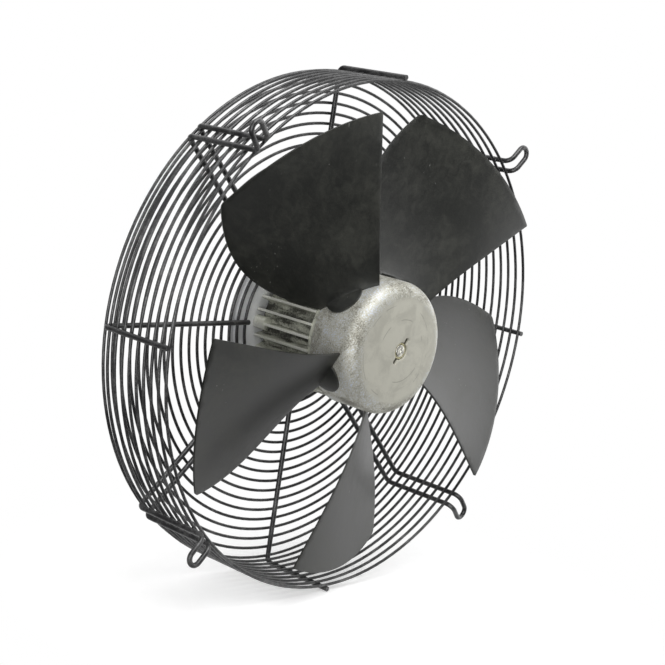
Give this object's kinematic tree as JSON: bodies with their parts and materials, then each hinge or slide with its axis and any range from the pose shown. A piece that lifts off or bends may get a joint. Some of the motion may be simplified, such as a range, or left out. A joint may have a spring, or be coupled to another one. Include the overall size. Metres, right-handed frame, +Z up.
{
  "type": "axial fan",
  "caption": "Axial fan: external-rotor motor with finned housing and sheet-metal blades in a round wire guard basket with U-shaped mounting eyelets.",
  "frame": {"origin": "on the fan axis, in the plane where the front of the four mounting eyelets meets a wall plate", "axes": "+Y along the fan axis from the rotor face to the guard's rear disc and the cable gland, +Z up, +X to the right of someone facing the rotor"},
  "size_m": [0.505, 0.1543, 0.505],
  "materials": {
    "guard_wire": "semi-gloss dark powder coat",
    "blade_paint": "satin black paint, dusty and lightly scratched",
    "cast_aluminium": "raw die-cast, grainy and lightly oxidised",
    "machined_aluminium": "turned",
    "zinc_plate": "galvanised sheet",
    "zinc_screw": "bright zinc plate",
    "yellow_zinc": "yellow passivated steel",
    "bearing_steel": "ground",
    "brass_cage": "pressed",
    "lamination_steel": "stacked sheet",
    "magnet": "sintered ferrite",
    "copper": "enamelled wire",
    "insulator_plastic": "moulded",
    "component_plastic": "moulded",
    "board_laminate": "solder resist",
    "cover_plastic": "moulded",
    "gland_plastic": "moulded",
    "seal_rubber": "matt"
  },
  "bodies": {
    "guard": {"guard_wall_rings": "guard_wire", "guard_disc_rings": "guard_wire", "spoke_right": "guard_wire", "spoke_top": "guard_wire", "spoke_left": "guard_wire", "spoke_bottom": "guard_wire", "arm_upper_right": "guard_wire", "arm_upper_left": "guard_wire", "arm_lower_left": "guard_wire", "arm_lower_right": "guard_wire", "motor_plate": "zinc_plate", "plate_screws": "zinc_screw", "motor_housing": "cast_aluminium", "rear_cover": "cover_plastic", "cover_gasket": "seal_rubber", "cover_screws": "zinc_screw", "gland_body": "gland_plastic", "gland_locknut": "gland_plastic", "gland_seal": "seal_rubber", "gland_nut": "gland_plastic", "circuit_board": "board_laminate", "board_screws": "zinc_screw", "capacitors": "component_plastic", "mains_choke": "copper", "power_module": "component_plastic", "terminal_block": "component_plastic", "motor_leads": "copper", "stator_stack": "lamination_steel", "insulator_front": "insulator_plastic", "insulator_rear": "insulator_plastic", "windings": "copper", "bearing_tube": "machined_aluminium", "front_bearing_outer_race": "bearing_steel", "rear_bearing_outer_race": "bearing_steel", "preload_spring": "bearing_steel"},
    "impeller": {"rotor_cup": "cast_aluminium", "hub_bush": "yellow_zinc", "flux_ring": "lamination_steel", "rotor_magnets": "magnet", "dust_seal": "seal_rubber", "shaft": "bearing_steel", "circlip": "bearing_steel", "front_bearing_inner_race": "bearing_steel", "rear_bearing_inner_race": "bearing_steel", "blade_1": "blade_paint", "blade_2": "blade_paint", "blade_3": "blade_paint", "blade_4": "blade_paint", "blade_5": "blade_paint"},
    "front_ball_cage": {"front_bearing_balls": "bearing_steel", "front_bearing_cage": "brass_cage"},
    "rear_ball_cage": {"rear_bearing_balls": "bearing_steel", "rear_bearing_cage": "brass_cage"}
  },
  "joints": [
    {"name": "impeller_spin", "type": "hinge", "parent": "guard", "child": "impeller", "pos_m": [0, 0, 0], "axis": [0, 1, 0], "continuous": true},
    {"name": "front_cage_spin", "type": "hinge", "parent": "guard", "child": "front_ball_cage", "pos_m": [0, -0.013, 0], "axis": [0, 1, 0], "continuous": true},
    {"name": "rear_cage_spin", "type": "hinge", "parent": "guard", "child": "rear_ball_cage", "pos_m": [0, 0.047, 0], "axis": [0, 1, 0], "continuous": true}
  ],
  "couplings": [
    {"joint": "front_cage_spin", "follows": "impeller_spin", "ratio": 0.3636},
    {"joint": "rear_cage_spin", "follows": "impeller_spin", "ratio": 0.3636}
  ]
}
